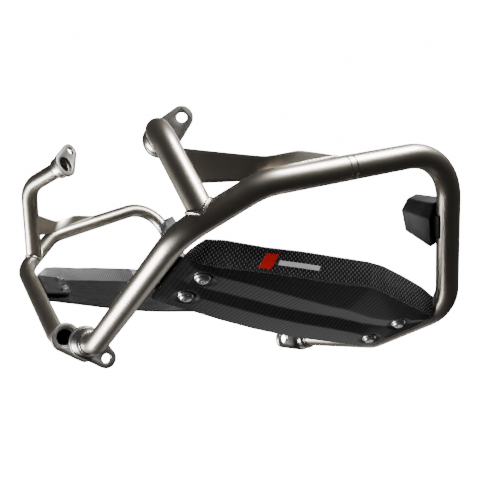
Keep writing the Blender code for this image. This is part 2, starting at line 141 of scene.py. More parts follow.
# ---- shader maths -----------------------------------------------------------------------
class Number:
    """A number in a material, whose operators add Math nodes."""

    def __init__(self, paint: "Paint", socket: bpy.types.NodeSocket) -> None:
        """Wrap an output socket of a paint's tree."""
        self.paint = paint
        self.socket = socket

    def math(self, operation: str, *others: "Number | float") -> "Number":
        """Return the result of a Math node with this number first."""
        return self.paint.math(operation, self, *others)

    def __add__(self, other: "Number | float") -> "Number":
        """Return the sum."""
        return self.math("ADD", other)

    def __radd__(self, other: float) -> "Number":
        """Return the sum, number first."""
        return self.math("ADD", other)

    def __sub__(self, other: "Number | float") -> "Number":
        """Return the difference."""
        return self.math("SUBTRACT", other)

    def __rsub__(self, other: float) -> "Number":
        """Return a number less this one."""
        return self.paint.math("SUBTRACT", other, self)

    def __mul__(self, other: "Number | float") -> "Number":
        """Return the product."""
        return self.math("MULTIPLY", other)

    def __rmul__(self, other: float) -> "Number":
        """Return the product, number first."""
        return self.math("MULTIPLY", other)

    def __truediv__(self, other: "Number | float") -> "Number":
        """Return the quotient."""
        return self.math("DIVIDE", other)


class Paint:
    """One material under construction."""

    def __init__(self, name: str, colour: Sequence[float], roughness: float, metallic: float) -> None:
        """Start a Principled material with its plain values.

        Args:
            name: Name of the material.
            colour: Base colour, red, green and blue.
            roughness: Roughness from 0 to 1.
            metallic: Metallic share from 0 to 1.
        """
        self.material = bpy.data.materials.new(name)
        self.material.use_nodes = True
        self.tree = self.material.node_tree
        self.shader = self.tree.nodes["Principled BSDF"]
        self.set("Base Color", (*colour, 1.0))
        self.set("Roughness", roughness)
        self.set("Metallic", metallic)

    def set(self, socket: str, value: object) -> None:
        """Set a constant on the shader."""
        self.shader.inputs[socket].default_value = value

    def node(self, kind: str, settings: dict[str, object] | None = None,
             **inputs: object) -> bpy.types.Node:
        """Add a node.

        Args:
            kind: The node's type name.
            settings: Its properties, set before its sockets.
            **inputs: Values or links of its sockets, by name with _ for a space, or by i0, i1.

        Returns:
            The node.
        """
        made = self.tree.nodes.new(kind)
        for key, value in (settings or {}).items():
            setattr(made, key, value)
        for key, value in inputs.items():
            index = int(key[1:]) if key[0] == "i" and key[1:].isdigit() else key.replace("_", " ")
            socket = made.inputs[index]
            if isinstance(value, Number):
                value = value.socket
            if isinstance(value, bpy.types.NodeSocket):
                self.tree.links.new(value, socket)
            else:
                socket.default_value = value
        return made

    def math(self, operation: str, *values: "Number | float") -> Number:
        """Return the result of a Math node on numbers and sockets."""
        inputs = {f"i{index}": value for index, value in enumerate(values)}
        return Number(self, self.node("ShaderNodeMath", {"operation": operation}, **inputs).outputs[0])

    def place(self) -> bpy.types.NodeSocket:
        """Return the place on the piece, in metres."""
        return self.node("ShaderNodeTexCoord").outputs["Object"]

    def noise(self, scale: float, detail: float = 3.0, stretch: Sequence[float] = (1, 1, 1)) -> Number:
        """Return noise between 0 and 1, with a number of lumps per metre.

        Args:
            scale: Lumps per metre.
            detail: Octaves of the noise.
            stretch: Scale of the pattern along X, Y and Z.

        Returns:
            The noise.
        """
        mapped = self.node("ShaderNodeMapping", None, Vector=self.place(), Scale=tuple(stretch))
        made = self.node("ShaderNodeTexNoise", None, Vector=mapped.outputs[0], Scale=scale, Detail=detail)
        return Number(self, made.outputs["Fac"])

    def mix(self, share: Number, first: Sequence[float], second: Sequence[float]) -> bpy.types.NodeSocket:
        """Return a colour between two colours.

        Args:
            share: Share of the second colour.
            first: First colour.
            second: Second colour.

        Returns:
            The mixed colour.
        """
        made = self.node("ShaderNodeMix", {"data_type": "RGBA"}, i0=share,
                         i6=(*first, 1.0), i7=(*second, 1.0))
        return made.outputs[2]

    def feed(self, socket: str, value: "Number | bpy.types.NodeSocket") -> None:
        """Link a varying value into the shader."""
        source = value.socket if isinstance(value, Number) else value
        self.tree.links.new(source, self.shader.inputs[socket])

    def bump(self, height: Number, distance: float, strength: float = 1.0) -> None:
        """Raise the surface by a height, with a distance in metres."""
        made = self.node("ShaderNodeBump", None, Height=height, Distance=distance, Strength=strength)
        self.feed("Normal", made.outputs[0])


@dataclass(frozen=True)
class BlastedTitanium:
    """Satin titanium tube with a fine blasted grain and a warm tone."""

    pale: tuple[float, float, float] = (0.58, 0.53, 0.46)
    warm: tuple[float, float, float] = (0.51, 0.463, 0.40)
    roughness: float = 0.32

    def build(self, name: str) -> bpy.types.Material:
        """Build clouds, streaks and a blasted grain.

        Args:
            name: Name of the material.

        Returns:
            The material.
        """
        paint = Paint(name, self.pale, self.roughness, 1.0)
        clouds = paint.noise(14.0, 4.0)
        streaks = paint.noise(60.0, 5.0)
        grain = paint.noise(1500.0, 2.0)
        paint.feed("Base Color", paint.mix(clouds * 0.7 + streaks * 0.3, self.warm, self.pale))
        paint.feed("Roughness", clouds * 0.08 + streaks * 0.06 + grain * 0.05 + (self.roughness - 0.09))
        paint.bump(grain, 0.00004, 0.5)
        return paint.material


@dataclass(frozen=True)
class MachinedTitanium:
    """Milled or turned titanium with tool marks."""

    pale: tuple[float, float, float] = (0.66, 0.645, 0.61)
    dark: tuple[float, float, float] = (0.47, 0.45, 0.42)
    roughness: float = 0.30

    def build(self, name: str) -> bpy.types.Material:
        """Build tool marks over faint clouds.

        Args:
            name: Name of the material.

        Returns:
            The material.
        """
        paint = Paint(name, self.pale, self.roughness, 1.0)
        marks = paint.noise(350.0, 3.0, (1, 1, 6))
        clouds = paint.noise(45.0, 3.0)
        paint.feed("Base Color", paint.mix(clouds * 0.6 + marks * 0.4, self.dark, self.pale))
        paint.feed("Roughness", marks * 0.16 + (self.roughness - 0.08))
        paint.bump(marks, 0.00005, 0.5)
        return paint.material


@dataclass(frozen=True)
class WeldBead:
    """Bright weld metal with a straw and blue tint."""

    straw: tuple[float, float, float] = (0.70, 0.64, 0.54)
    blue: tuple[float, float, float] = (0.52, 0.53, 0.55)

    def build(self, name: str) -> bpy.types.Material:
        """Build a tint that drifts along the bead.

        Args:
            name: Name of the material.

        Returns:
            The material.
        """
        paint = Paint(name, self.straw, 0.28, 1.0)
        tint = paint.noise(120.0, 3.0)
        paint.feed("Base Color", paint.mix(tint, self.straw, self.blue))
        paint.feed("Roughness", tint * 0.15 + 0.2)
        return paint.material


@dataclass(frozen=True)
class CarbonCloth:
    """Lacquered carbon cloth that follows the piece's own cloth map, in metres, with the sheen of its tows
    painted into its colour.
    """

    tow: float = 0.0023
    twill: bool = False
    turned: bool = False
    # Painted sheen: how pale the tows are painted where light would glint off their fibres.
    bright: float = 0.75
    dark: float = 0.006
    lacquer: float = 0.8
    shine: float = 0.5

    def build(self, name: str) -> bpy.types.Material:
        """Build crossing tows, each rounded, under clear lacquer, with a painted sheen along the crown of
        each tow.

        Args:
            name: Name of the material.

        Returns:
            The material.
        """
        paint = Paint(name, (0.03, 0.03, 0.032), 0.45, 0.4)
        cloth = paint.node("ShaderNodeUVMap", {"uv_map": "cloth"})
        parts = paint.node("ShaderNodeSeparateXYZ", None, Vector=cloth.outputs[0])
        across = Number(paint, parts.outputs[0]) / self.tow
        up = Number(paint, parts.outputs[1]) / self.tow
        if self.turned:
            half = math.sqrt(0.5)
            across, up = (across + up) * half, (across - up) * half
        column = across.math("FLOOR")
        row = up.math("FLOOR")
        repeat = 4.0 if self.twill else 2.0
        place = (column + row).math("FLOORED_MODULO", repeat)
        over = place.math("GREATER_THAN", 1.5 if self.twill else 0.5)
        warp = (across.math("FRACT") * math.pi).math("SINE")
        weft = (up.math("FRACT") * math.pi).math("SINE")
        height = over * warp + (1 - over) * weft
        fibre = paint.noise(2500.0, 1.0)
        # Painted sheen: each upper tow is painted paler towards its crown and each lower tow only faintly,
        # over the carbon's own dark colour.
        share = over * warp * 0.85 + (1 - over) * weft * 0.18 + fibre * 0.08
        lit = (self.bright, self.bright, self.bright * 1.02)
        paint.feed("Base Color", paint.mix(share, (self.dark,) * 3, lit))
        paint.feed("Roughness", 0.5 - over * 0.12)
        paint.bump(height, 0.00012, 0.6)
        paint.set("Coat Weight", self.lacquer)
        paint.set("Specular IOR Level", self.shine)
        paint.set("Coat Roughness", 0.09)
        return paint.material


@dataclass(frozen=True)
class PolishedSteel:
    """Bright screws with faint turning marks."""

    colour: tuple[float, float, float] = (0.92, 0.92, 0.91)

    def build(self, name: str) -> bpy.types.Material:
        """Build faint turning marks.

        Args:
            name: Name of the material.

        Returns:
            The material.
        """
        paint = Paint(name, self.colour, 0.3, 1.0)
        marks = paint.noise(900.0, 2.0)
        paint.feed("Roughness", marks * 0.12 + 0.26)
        paint.bump(marks, 0.00002, 0.4)
        return paint.material


@dataclass(frozen=True)
class GrainedBlack:
    """Black paint or moulded rubber with a fine grain."""

    colour: tuple[float, float, float] = (0.012, 0.012, 0.013)
    worn: tuple[float, float, float] = (0.03, 0.03, 0.031)
    roughness: float = 0.42
    grain: float = 1800.0
    depth: float = 0.00006

    def build(self, name: str) -> bpy.types.Material:
        """Build a fine grain over worn clouds.

        Args:
            name: Name of the material.

        Returns:
            The material.
        """
        paint = Paint(name, self.colour, self.roughness, 0.0)
        clouds = paint.noise(60.0, 4.0)
        grain = paint.noise(self.grain, 2.0)
        paint.feed("Base Color", paint.mix(clouds, self.colour, self.worn))
        paint.feed("Roughness", clouds * 0.12 + grain * 0.06 + (self.roughness - 0.09))
        paint.bump(grain, self.depth, 0.6)
        return paint.material


@dataclass(frozen=True)
class PrintedFlashWithPaintedGlow:
    """A plain printed stripe under lacquer, with a faint painted glow."""

    colour: tuple[float, float, float]

    def build(self, name: str) -> bpy.types.Material:
        """Build a slightly uneven print that glows faintly in its own colour, as painted light.

        Args:
            name: Name of the material.

        Returns:
            The material.
        """
        paint = Paint(name, self.colour, 0.3, 0.0)
        fade = paint.noise(300.0, 2.0)
        darker = tuple(part * 0.85 for part in self.colour)
        paint.feed("Base Color", paint.mix(fade, darker, self.colour))
        paint.set("Coat Weight", 0.5)
        # Painted glow: the print emits its own colour, so it stays bright where it lies in shade.
        paint.set("Emission Color", (*self.colour, 1.0))
        paint.set("Emission Strength", 0.3)
        return paint.material


class Finishes:
    """All finishes of the pair, each made once."""

    def __init__(self) -> None:
        """Build the materials."""
        self.titanium = BlastedTitanium().build("blasted_titanium")
        self.machined = MachinedTitanium().build("milled_titanium")
        self.lug = BlastedTitanium((0.50, 0.485, 0.455), (0.37, 0.355, 0.33), 0.42).build("blasted_lug")
        self.weld = WeldBead().build("weld_metal")
        # The outer band carries a strong painted sheen. The face and the inner sides carry a faint one, so
        # the inner band is a painted-shade copy of the band.
        self.band_cloth = CarbonCloth().build("plain_weave_carbon")
        self.face_cloth = CarbonCloth(tow=0.0017, twill=True, turned=True, bright=0.05, lacquer=0.3,
                                      shine=0.35).build("twill_carbon")
        self.inner_cloth = CarbonCloth(bright=0.05, lacquer=0.0, shine=0.15).build("bare_inner_carbon")
        self.inner_band = CarbonCloth(bright=0.14, lacquer=0.1, shine=0.25).build("bare_inner_band")
        self.steel = PolishedSteel().build("bright_screw_steel")
        self.black_metal = GrainedBlack().build("satin_black_metal")
        self.rubber = GrainedBlack(roughness=0.6, grain=1200.0, depth=0.0001).build("moulded_black_rubber")
        self.pad = GrainedBlack((0.010, 0.011, 0.013), (0.022, 0.023, 0.026), 0.52).build("moulded_pad")
        self.red = PrintedFlashWithPaintedGlow((0.85, 0.02, 0.02)).build("red_stripe")
        self.white = PrintedFlashWithPaintedGlow((0.95, 0.95, 0.95)).build("white_stripe")


# ---- modelling --------------------------------------------------------------------------
class Bench:
    """Blender's operators on one piece at a time, and the book-keeping of finished pieces."""

    def __init__(self) -> None:
        """Start an empty bench."""
        self.count = 0

    @staticmethod
    def clear() -> None:
        """Deselect everything."""
        bpy.ops.object.select_all(action="DESELECT")

    @staticmethod
    def take(piece: bpy.types.Object) -> None:
        """Make a piece the only selected one.

        Args:
            piece: The piece to select.
        """
        Bench.clear()
        piece.select_set(True)
        bpy.context.view_layer.objects.active = piece

    @staticmethod
    def modify(piece: bpy.types.Object, kind: str, **settings: object) -> None:
        """Add a modifier with its settings and apply it.

        Args:
            piece: The piece to change.
            kind: The modifier's type name.
            **settings: Its properties.
        """
        Bench.take(piece)
        modifier = piece.modifiers.new(kind.lower(), kind)
        for key, value in settings.items():
            setattr(modifier, key, value)
        bpy.ops.object.modifier_apply(modifier=modifier.name)

    @staticmethod
    def edit(piece: bpy.types.Object, *steps: Callable[[], object]) -> None:
        """Run operators in edit mode with the whole piece selected.

        Args:
            piece: The piece to edit.
            *steps: Operator calls, in order.
        """
        Bench.take(piece)
        bpy.ops.object.mode_set(mode="EDIT")
        bpy.ops.mesh.select_all(action="SELECT")
        for step in steps:
            step()
        bpy.ops.object.mode_set(mode="OBJECT")

    @staticmethod
    def settle(piece: bpy.types.Object, place: Matrix) -> None:
        """Move a piece's mesh to its place in the model."""
        piece.data.transform(place)
        piece.data.update()

    @staticmethod
    def smooth(piece: bpy.types.Object, degrees: float = 32.0) -> None:
        """Shade a piece smooth up to an angle."""
        Bench.take(piece)
        bpy.ops.object.shade_smooth_by_angle(angle=math.radians(degrees))

    @staticmethod
    def cut(piece: bpy.types.Object, cutter: bpy.types.Object) -> None:
        """Cut one piece out of another and remove the cutter."""
        Bench.modify(piece, "BOOLEAN", operation="DIFFERENCE", solver="EXACT", object=cutter)
        bpy.data.objects.remove(cutter)

    @staticmethod
    def swept(route: Route, radius: float, ripple: Callable[[int], float] | None = None,
              resolution: int = 9, capped: bool = False, closed: bool = False) -> bpy.types.Object:
        """Sweep a circle along a route.

        Args:
            route: Points of the drawing.
            radius: Radius of the circle, in millimetres.
            ripple: Gives each point's share of the radius.
            resolution: Steps in each quarter of the circle, less one.
            capped: Whether the ends are closed.
            closed: Whether the route joins its start.

        Returns:
            The swept mesh.
        """
        Bench.clear()
        bpy.ops.curve.primitive_bezier_curve_add(location=(0, 0, 0))
        piece = bpy.context.active_object
        curve = piece.data
        curve.splines.clear()
        spline = curve.splines.new("POLY")
        spline.points.add(len(route) - 1)
        for index, (point, spot) in enumerate(zip(spline.points, route)):
            point.co = (*metres(spot), 1.0)
            point.radius = ripple(index) if ripple else 1.0
        spline.use_cyclic_u = closed
        curve.dimensions = "3D"
        curve.twist_mode = "MINIMUM"
        curve.bevel_depth = radius * MM
        curve.bevel_resolution = resolution
        curve.use_fill_caps = capped
        Bench.take(piece)
        bpy.ops.object.convert(target="MESH")
        piece = bpy.context.active_object
        Bench.edit(piece, lambda: bpy.ops.mesh.remove_doubles(threshold=1e-6),
                   lambda: bpy.ops.mesh.normals_make_consistent(inside=False))
        return piece

    @staticmethod
    def turned(profile: Sequence[tuple[float, float]], origin: Vector, direction: Vector,
               steps: int = 48) -> bpy.types.Object:
        """Turn a closed profile of (radius, height) round a direction from an origin.

        Args:
            profile: Corners as (radius, height), in millimetres.
            origin: Where height 0 of the axis stands.
            direction: Where the axis points.
            steps: Steps round the axis.

        Returns:
            The closed solid.
        """
        Bench.clear()
        bpy.ops.mesh.primitive_circle_add(vertices=len(profile), radius=1)
        piece = bpy.context.active_object
        for vertex, (radius, height) in zip(piece.data.vertices, profile):
            vertex.co = (radius * MM, 0, height * MM)
        Bench.edit(piece,
                   lambda: bpy.ops.mesh.spin(steps=steps, angle=math.tau, center=(0, 0, 0), axis=(0, 0, 1)),
                   lambda: bpy.ops.mesh.select_all(action="SELECT"),
                   lambda: bpy.ops.mesh.remove_doubles(threshold=1e-6),
                   lambda: bpy.ops.mesh.normals_make_consistent(inside=False))
        turn = axes_along(direction, (0.3, 0.9, 0.2)).to_4x4()
        Bench.settle(piece, Matrix.Translation(metres(origin)) @ turn)
        return piece

    @staticmethod
    def flat(outline: Sequence[tuple[float, float]], thickness: float) -> bpy.types.Object:
        """Extrude a flat outline, in millimetres, upwards from the origin.

        Args:
            outline: Corners as (x, y), in millimetres.
            thickness: Height of the extrusion, in millimetres.

        Returns:
            The solid, lying on the origin.
        """
        Bench.clear()
        bpy.ops.mesh.primitive_circle_add(vertices=len(outline), radius=1, fill_type="NGON")
        piece = bpy.context.active_object
        for vertex, (x, y) in zip(piece.data.vertices, outline):
            vertex.co = (x * MM, y * MM, 0)
        lift = {"value": (0, 0, thickness * MM)}
        Bench.edit(piece, lambda: bpy.ops.mesh.extrude_region_move(TRANSFORM_OT_translate=lift),
                   lambda: bpy.ops.mesh.select_all(action="SELECT"),
                   lambda: bpy.ops.mesh.normals_make_consistent(inside=False))
        return piece

    @staticmethod
    def drill(piece: bpy.types.Object, x: float, y: float, radius: float, sides: int = 40,
              depth: float = 40.0, height: float = 0.0) -> None:
        """Cut a straight hole along Z at a place of a flat piece, in millimetres.

        Args:
            piece: The flat piece.
            x: Place of the hole along X.
            y: Place of the hole along Y.
            radius: Radius of the hole.
            sides: Sides of the hole.
            depth: Length of the cutter.
            height: Height of the cutter's middle.
        """
        Bench.clear()
        bpy.ops.mesh.primitive_cylinder_add(vertices=sides, radius=radius * MM, depth=depth * MM,
                                            location=(x * MM, y * MM, height * MM))
        cutter = bpy.context.active_object
        Bench.take(cutter)
        bpy.ops.object.transform_apply()
        Bench.cut(piece, cutter)

    @staticmethod
    def sheet(columns: int, rows: int, spot: Callable[[float, float], Vector],
              cloth: Callable[[float, float], tuple[float, float]] | None = None) -> bpy.types.Object:
        """Shape a grid by a rule.

        Args:
            columns: Vertices along the sheet.
            rows: Vertices across it.
            spot: Gives the drawing's point for shares along and across.
            cloth: Gives the cloth map's place, in metres, for the same shares.

        Returns:
            The open sheet.
        """
        Bench.clear()
        bpy.ops.mesh.primitive_grid_add(x_subdivisions=columns - 1, y_subdivisions=rows - 1, size=1)
        piece = bpy.context.active_object
        shares = [(vertex.co.x + 0.5, vertex.co.y + 0.5) for vertex in piece.data.vertices]
        if cloth:
            for old in list(piece.data.uv_layers):
                piece.data.uv_layers.remove(old)
            layer = piece.data.uv_layers.new(name="cloth")
            for loop in piece.data.loops:
                layer.data[loop.index].uv = cloth(*shares[loop.vertex_index])
        for vertex, (along, across) in zip(piece.data.vertices, shares):
            vertex.co = metres(spot(along, across))
        return piece

    def copy(self, piece: bpy.types.Object, place: Matrix) -> bpy.types.Object:
        """Return a copy of a piece with its own mesh, moved to a place.

        Args:
            piece: The piece to copy.
            place: Where the copy goes.

        Returns:
            The copy.
        """
        twin = piece.copy()
        twin.data = piece.data.copy()
        bpy.context.scene.collection.objects.link(twin)
        self.settle(twin, place)
        return twin

    def hand_over(self, piece: bpy.types.Object, name: str, finish: bpy.types.Material, slot: Slot,
                  nodes: Sequence[str] = ()) -> bpy.types.Object:
        """Name and dress a finished piece, and fix it to the body.

        Args:
            piece: The piece, in its place.
            name: Its name.
            finish: Its material, unless it has its own already.
            slot: The record's finish that it stands for; not used.
            nodes: CAD nodes that it replaces.

        Returns:
            The piece.
        """
        piece.name = name
        piece.data.name = name
        if not piece.data.materials:
            piece.data.materials.append(finish)
        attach(piece, BODY)
        if nodes:
            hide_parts(*nodes)
        self.count += 1
        LOG.info("piece %s: %d faces", name, len(piece.data.polygons))
        return piece


# ---- centre lines -----------------------------------------------------------------------
@dataclass(frozen=True)
class Heights:
    """Heights of one guard's corners; the cylinders are staggered, so the sides differ."""

    shoulder: float
    top_front: float
    top_rear: float
    foot: float
    turn_in: float
    rear_end: float
    strut_end: float
    strut_bend: float


HEIGHTS = {
    Side.LEFT: Heights(113, 158, 208, 41, -1, -6, 227, 222),
    Side.RIGHT: Heights(97, 160, 238, 86, 46, 42, 261, 232),
}


@dataclass
class CentreLines:
    """The bent centre lines of one guard."""

    side: Side
    lug_face: float = 36
    strut_foot_at: float = 0.32
    joint_at: float = 0.42
    arc_step: float = 4.0
    front: Route = field(init=False)
    rear: Route = field(init=False)
    strut: Route = field(init=False)

    def __post_init__(self) -> None:
        """Work out the corners and the three routes."""
        high = HEIGHTS[self.side]
        self.lug = self.corner(0, self.lug_face, 0)
        self.sill = self.corner(0, 79, 0)
        self.shoulder = self.corner(-4, 278, high.shoulder)
        self.top_front = self.corner(-63, 327, high.top_front)
        self.top_rear = self.corner(-274, 368, high.top_rear)
        self.foot = self.corner(-338, 309, high.foot)
        self.turn_in = self.corner(-319, 208, high.turn_in)
        self.rear_end = self.corner(-308, 75, high.rear_end)
        self.strut_end = self.corner(-37, 170, high.strut_end)
        self.strut_bend = self.corner(2, 242, high.strut_bend)
        self.strut_foot = self.shoulder.lerp(self.top_front, self.strut_foot_at)
        self.joint = self.top_front.lerp(self.top_rear, self.joint_at)
        self.front = self.rounded([self.lug, self.sill, self.shoulder, self.top_front, self.joint],
                                  (32, 60, 55))
        self.rear = self.rounded([self.joint, self.top_rear, self.foot, self.turn_in, self.rear_end],
                                 (58, 52, 45))
        self.strut = self.rounded([self.strut_end, self.strut_bend, self.strut_foot], (42,))

    def corner(self, x: float, y: float, z: float) -> Vector:
        """Return a corner, mirrored on the right side."""
        return Vector((x, y * self.side.sign, z))

    def rounded(self, corners: Sequence[Vector], radii: Sequence[float]) -> Route:
        """Return a route through the corners with an arc of each radius.

        Args:
            corners: Corners of the route.
            radii: Bend radius at each inner corner.

        Returns:
            The rounded route.
        """
        route = [corners[0]]
        for before, corner, after, radius in zip(corners, corners[1:], corners[2:], radii):
            to_before = (before - corner).normalized()
            to_after = (after - corner).normalized()
            opening = to_before.angle(to_after)
            sweep = math.pi - opening
            start = corner + to_before * (radius / math.tan(opening / 2))
            middle = corner + (to_before + to_after).normalized() * (radius / math.sin(opening / 2))
            spoke = start - middle
            axis = spoke.cross(-to_before).normalized()
            steps = max(3, round(math.degrees(sweep) / self.arc_step))
            for index in range(steps + 1):
                route.append(middle + Matrix.Rotation(sweep * index / steps, 3, axis) @ spoke)
        route.append(corners[-1])
        return route

    @staticmethod
    def shortened(route: Route, start: float, end: float) -> Route:
        """Return a route with straight lengths taken off its ends.

        Args:
            route: The whole route.
            start: Length off its start.
            end: Length off its end.

        Returns:
            The shorter route.
        """
        points = [point.copy() for point in route]
        points[0] += (points[1] - points[0]).normalized() * start
        points[-1] += (points[-2] - points[-1]).normalized() * end
        return points


# ---- sub-assemblies ---------------------------------------------------------------------
@dataclass
class Work:
    """One sub-assembly of one guard."""

    lines: CentreLines
    bench: Bench
    finishes: Finishes

    @property
    def side(self) -> str:
        """Return left or right."""
        return self.lines.side.value

    def bead(self, name: str, route: Route, radius: float, ripple: tuple[float, float],
             resolution: int = 3, closed: bool = True, nodes: Sequence[str] = ()) -> None:
        """Lay a rippled weld bead.

        Args:
            name: Its name.
            route: Its centre line.
            radius: Its radius, in millimetres.
            ripple: Depth of the ripple as a share of the radius, and its pace per step.
            resolution: Steps in each quarter of its section, less one.
            closed: Whether it joins its start.
            nodes: CAD nodes that it replaces.
        """
        depth, pace = ripple
        piece = self.bench.swept(route, radius, resolution=resolution, capped=not closed, closed=closed,
                                 ripple=lambda index: 1 - depth + depth * abs(math.sin(index * pace)))
        self.bench.smooth(piece, 60)
        self.bench.hand_over(piece, name, self.finishes.weld, Slot.TITANIUM, nodes)


@dataclass
class TubeWork(Work):
    """The bent tubes of one guard, their joint ring and the strut's weld."""

    lug_thickness: float = 6.3
    joint_length: float = 13
    strut_set_back: float = 4
    bead_r: float = 1.7

    def build(self) -> None:
        """Make the tubes, the ring and the weld."""
        side = self.side
        half = self.joint_length / 2
        lines = self.lines
        for name, route, start, end in (("front_tube", lines.front, self.lug_thickness, half),
                                        ("rear_tube", lines.rear, half, self.lug_thickness),
                                        ("strut", lines.strut, self.lug_thickness, self.strut_set_back)):
            self.tube(f"{name}_{side}_smooth", lines.shortened(route, start, end), f"{name}_{side}")
        self.joint_ring()
        self.strut_weld()

    def tube(self, name: str, route: Route, node: str) -> None:
        """Make one open tube with a real wall.

        Args:
            name: Name of the piece.
            route: Its centre line.
            node: CAD node that it replaces.
        """
        piece = self.bench.swept(route, TUBE_R)
        self.bench.modify(piece, "SOLIDIFY", thickness=TUBE_WALL * MM, offset=-1.0)
        self.bench.smooth(piece)
        self.bench.hand_over(piece, name, self.finishes.titanium, Slot.TITANIUM, (node,))

    def joint_ring(self) -> None:
        """Make the ring between front and rear tube, with two fine turned grooves."""
        side = self.side
        half = self.joint_length / 2
        outer = TUBE_R + 0.05
        profile = [(outer, -half)]
        for place in (-3.6, 3.6):
            profile += [(outer, place - 0.9), (outer - 0.7, place - 0.3), (outer - 0.7, place + 0.3),
                        (outer, place + 0.9)]
        profile += [(outer, half), (TUBE_R - TUBE_WALL, half), (TUBE_R - TUBE_WALL, -half)]
        along = self.lines.rear[1] - self.lines.rear[0]
        piece = self.bench.turned(profile, self.lines.joint, along)
        self.bench.smooth(piece, 20)
        self.bench.hand_over(piece, f"joint_ring_{side}_turned", self.finishes.titanium, Slot.MACHINED,
                             (f"joint_ring_{side}",))

    def strut_weld(self) -> None:
        """Lay a rippled bead where the strut meets the front tube."""
        lines = self.lines
        up = (lines.strut_bend - lines.strut_foot).normalized()
        along = (lines.top_front - lines.shoulder).normalized()
        turn = axes_along(up, along)
        reach = TUBE_R + self.bead_r * 0.45
        rise = up - along * up.dot(along)
        steps = 160
        route = []
        for index in range(steps):
            angle = math.tau * index / steps
            spoke = turn @ Vector((math.cos(angle), math.sin(angle), 0)) * reach
            across = spoke - along * spoke.dot(along)
            half_b = across.dot(rise)
            rest = max(half_b ** 2 - rise.length_squared * (across.length_squared - reach ** 2), 0.0)
            route.append(lines.strut_foot + spoke + up * ((math.sqrt(rest) - half_b) / rise.length_squared))
        self.bead(f"strut_weld_{self.side}_rippled", route, self.bead_r, (0.15, 0.9),
                  nodes=(f"strut_weld_{self.side}",))


@dataclass
class LugWork(Work):
    """The three bolt lugs of one guard with their turned sockets and welds."""

    thickness: float = 6
    big_r: float = 19.5
    small_r: float = 12.5
    reach: float = 35
    bore_r: float = 12.9
    bolt_r: float = 6
    socket_r: float = 17
    socket_length: float = 15
    bead_r: float = 1.3

    def build(self) -> None:
        """Make the lower, upper and rear lug."""
        lines = self.lines
        sign = lines.side.sign
        upper = {Side.LEFT: (-0.57, 0.36, 0.74), Side.RIGHT: (-0.38, -0.51, 0.77)}[lines.side]
        self.lug("lower_lug", lines.lug, Vector((0, sign, 0)), (-0.775, 0, -0.632))
        self.lug("upper_lug", lines.strut_end, lines.strut[1] - lines.strut[0], upper)
        self.lug("rear_lug", lines.rear_end, lines.turn_in - lines.rear_end, (1, 0, -0.05))

    def outline(self, steps: int = 24) -> list[tuple[float, float]]:
        """Return the tapered outline: big round at the origin, small round along X.

        Args:
            steps: Steps round the small end, half of those round the big end.

        Returns:
            The corners, in order.
        """
        lean = math.asin((self.big_r - self.small_r) / self.reach)
        end = math.pi / 2 - lean
        points = []
        for index in range(steps + 1):
            angle = -end + 2 * end * index / steps
            points.append((self.reach + self.small_r * math.cos(angle), self.small_r * math.sin(angle)))
        for index in range(2 * steps + 1):
            angle = end + (math.tau - 2 * end) * index / (2 * steps)
            points.append((self.big_r * math.cos(angle), self.big_r * math.sin(angle)))
        return points

    def lug(self, name: str, face: Vector, outward: Vector, way: Sequence[float]) -> None:
        """Make one lug plate, its socket and the weld round the tube.

        Args:
            name: Which lug it is.
            face: Middle of the lug's outer face.
            outward: Way from the outer face into the tube.
            way: Way from the bore to the bolt hole.
        """
        side = self.side
        outward = outward.normalized()
        plate = self.bench.flat(self.outline(), self.thickness)
        self.bench.drill(plate, 0, 0, self.bore_r)
        self.bench.drill(plate, self.reach, 0, self.bolt_r)
        self.bench.modify(plate, "BEVEL", width=0.7 * MM, segments=2, limit_method="ANGLE",
                          angle_limit=math.radians(50))
        turn = axes_along(outward, way).to_4x4()
        self.bench.settle(plate, Matrix.Translation(metres(face)) @ turn)
        self.bench.smooth(plate)
        self.bench.hand_over(plate, f"{name}_{side}_plate_milled", self.finishes.lug, Slot.MACHINED,
                             (f"{name}_{side}_plate",))
        base = self.thickness - 0.2
        top = self.thickness + self.socket_length
        outer = self.socket_r
        inner = TUBE_R - TUBE_WALL
        profile = [(outer + 1.5, base), (outer + 0.6, base + 1.2), (outer, base + 2.6), (outer, top - 4.5),
                   (outer - 0.5, top - 3.4), (TUBE_R + 1.1, top - 0.6), (TUBE_R + 0.2, top), (inner, top),
                   (inner, base)]
        socket = self.bench.turned(profile, face, outward)
        self.bench.modify(socket, "BEVEL", width=0.3 * MM, segments=2, limit_method="ANGLE",
                          angle_limit=math.radians(40))
        self.bench.smooth(socket)
        self.bench.hand_over(socket, f"{name}_{side}_socket_turned", self.finishes.machined, Slot.MACHINED,
                             (f"{name}_{side}_socket",))
        self.weld(f"{name}_{side}_weld", face + outward * (top + 0.2), outward)

    def weld(self, name: str, centre: Vector, axis: Vector) -> None:
        """Lay a rippled bead round the tube where it leaves the socket.

        Args:
            name: Name of the bead.
            centre: Middle of the bead.
            axis: The tube's axis.
        """
        turn = axes_along(axis)
        steps = 120
        route = []
        for index in range(steps):
            angle = math.tau * index / steps
            route.append(centre + turn @ Vector((math.cos(angle), math.sin(angle), 0)) * (TUBE_R + 0.3))
        self.bead(name, route, self.bead_r, (0.2, 0.79), resolution=2)


